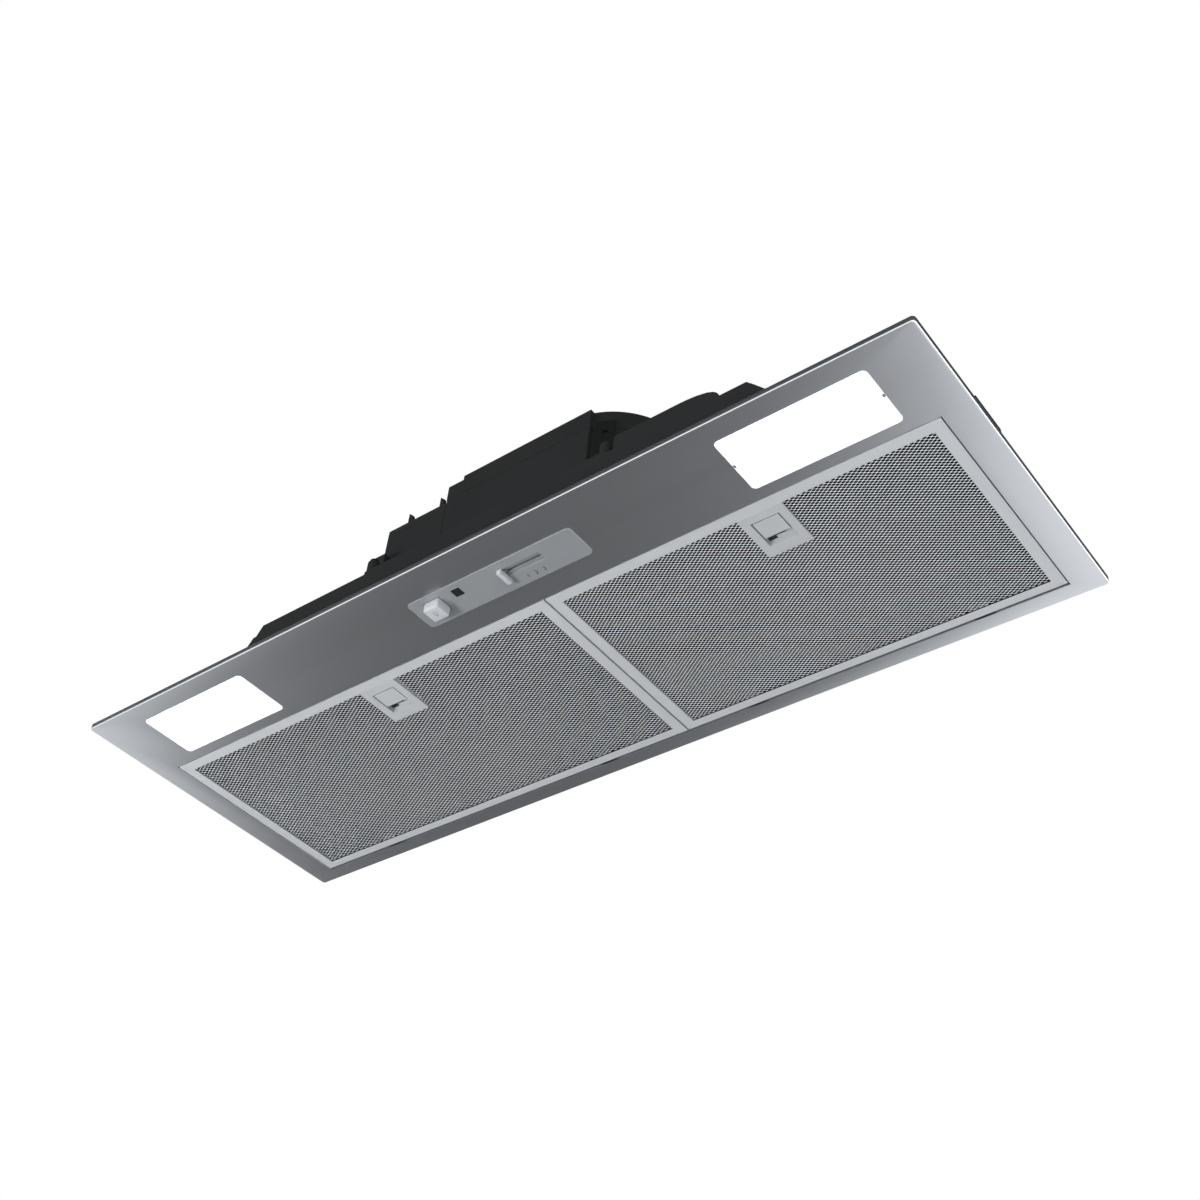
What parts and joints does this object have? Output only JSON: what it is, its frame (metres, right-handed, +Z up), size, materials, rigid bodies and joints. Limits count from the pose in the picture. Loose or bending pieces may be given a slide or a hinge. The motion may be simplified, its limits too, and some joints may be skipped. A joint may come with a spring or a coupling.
{
  "type": "range hood insert",
  "caption": "Built-in cooker hood insert: steel face plate with lift-down grease filters, lamps and a control strip, under an air box with a centrifugal blower and duct collar.",
  "frame": {"origin": "centre of the face plate at the rim's upper edge, the plane that meets the cabinet floor", "axes": "+X to the user's right along the controls, +Y towards the wall, +Z up into the cabinet"},
  "size_m": [0.8, 0.29, 0.1848],
  "materials": {
    "steel_plate": "brushed",
    "housing_plastic": "fine grain",
    "bright_steel": "zinc plated",
    "spring_steel": "spring steel",
    "lens_plastic": "frosted, lit",
    "white_plastic": "matte",
    "strip_plastic": "satin",
    "key_plastic": "satin",
    "window_plastic": "gloss",
    "dark_plastic": "satin",
    "board_green": "solder mask",
    "wheel_plastic": "satin",
    "motor_steel": "painted",
    "grommet_rubber": "matte",
    "flap_metal": "matte",
    "filter_aluminium": "satin"
  },
  "bodies": {
    "hood": {"face_plate": "steel_plate", "air_box": "housing_plastic", "plate_rivets": "bright_steel", "filter_hooks": "spring_steel", "lamp_lens_left": "lens_plastic", "lamp_lens_right": "lens_plastic", "lamp_board_left": "white_plastic", "lamp_board_right": "white_plastic", "lamp_housing_left": "white_plastic", "lamp_housing_right": "white_plastic", "control_bezel": "strip_plastic", "button_spring": "spring_steel", "indicator_window": "window_plastic", "speed_switch": "dark_plastic", "control_board": "board_green", "control_housing": "dark_plastic", "blower_base": "housing_plastic", "blower_casing": "housing_plastic", "blower_cover": "housing_plastic", "cover_clips": "spring_steel", "casing_screws": "bright_steel", "motor": "motor_steel", "motor_grommets": "grommet_rubber", "motor_screws": "bright_steel", "outlet_collar": "housing_plastic", "flap_pin": "bright_steel", "terminal_box": "housing_plastic", "terminal_lid": "housing_plastic", "terminal_block": "white_plastic", "run_capacitor": "white_plastic", "cable_gland": "dark_plastic", "lamp_driver": "dark_plastic", "side_clip_left": "spring_steel", "side_clip_right": "spring_steel", "clip_rivets": "bright_steel"},
    "rotor": {"fan_wheel": "wheel_plastic", "wheel_nut": "bright_steel", "motor_shaft": "bright_steel"},
    "filter_left": {"filter_frame_left": "filter_aluminium", "filter_mesh_left": "filter_aluminium", "filter_core_left": "filter_aluminium", "filter_backing_left": "filter_aluminium", "filter_pins_left": "bright_steel", "latch_plate_left": "key_plastic", "latch_spring_left": "spring_steel"},
    "latch_left": {"latch_flap_left": "key_plastic", "latch_tongue_left": "spring_steel"},
    "filter_right": {"filter_frame_right": "filter_aluminium", "filter_mesh_right": "filter_aluminium", "filter_core_right": "filter_aluminium", "filter_backing_right": "filter_aluminium", "filter_pins_right": "bright_steel", "latch_plate_right": "key_plastic", "latch_spring_right": "spring_steel"},
    "latch_right": {"latch_flap_right": "key_plastic", "latch_tongue_right": "spring_steel"},
    "lamp_key": {"light_button": "key_plastic"},
    "speed_key": {"fan_speed_knob": "key_plastic"},
    "front_flap": {"flap_front": "flap_metal"},
    "rear_flap": {"flap_rear": "flap_metal"}
  },
  "joints": [
    {"name": "wheel_spin", "type": "hinge", "parent": "hood", "child": "rotor", "pos_m": [0.062, 0, 0.1], "axis": [0, 0, 1], "continuous": true},
    {"name": "filter_left_hinge", "type": "hinge", "parent": "hood", "child": "filter_left", "pos_m": [-0.1683, 0.124, -0.0008], "axis": [1, 0, 0], "range_deg": [0, 80], "deforming": ["latch_tongue_left"]},
    {"name": "filter_right_hinge", "type": "hinge", "parent": "hood", "child": "filter_right", "pos_m": [0.2083, 0.124, -0.0008], "axis": [1, 0, 0], "range_deg": [0, 80], "deforming": ["latch_tongue_right"]},
    {"name": "latch_left_slide", "type": "slide", "parent": "filter_left", "child": "latch_left", "axis": [0, 1, 0], "range_m": [0, 0.007], "stiffness_N_per_m": 400, "deforming": ["latch_spring_left"]},
    {"name": "latch_right_slide", "type": "slide", "parent": "filter_right", "child": "latch_right", "axis": [0, 1, 0], "range_m": [0, 0.007], "stiffness_N_per_m": 400, "deforming": ["latch_spring_right"]},
    {"name": "light_button_press", "type": "slide", "parent": "hood", "child": "lamp_key", "axis": [0, 0, 1], "range_m": [0, 0.003], "stiffness_N_per_m": 500, "deforming": ["button_spring"]},
    {"name": "fan_speed_slide", "type": "slide", "parent": "hood", "child": "speed_key", "axis": [1, 0, 0], "range_m": [0, 0.034]},
    {"name": "front_flap_hinge", "type": "hinge", "parent": "hood", "child": "front_flap", "pos_m": [-0.042, 0.038, 0.151], "axis": [-1, 0, 0], "range_deg": [0, 75]},
    {"name": "rear_flap_hinge", "type": "hinge", "parent": "hood", "child": "rear_flap", "pos_m": [-0.042, 0.038, 0.151], "axis": [1, 0, 0], "range_deg": [0, 75]}
  ]
}
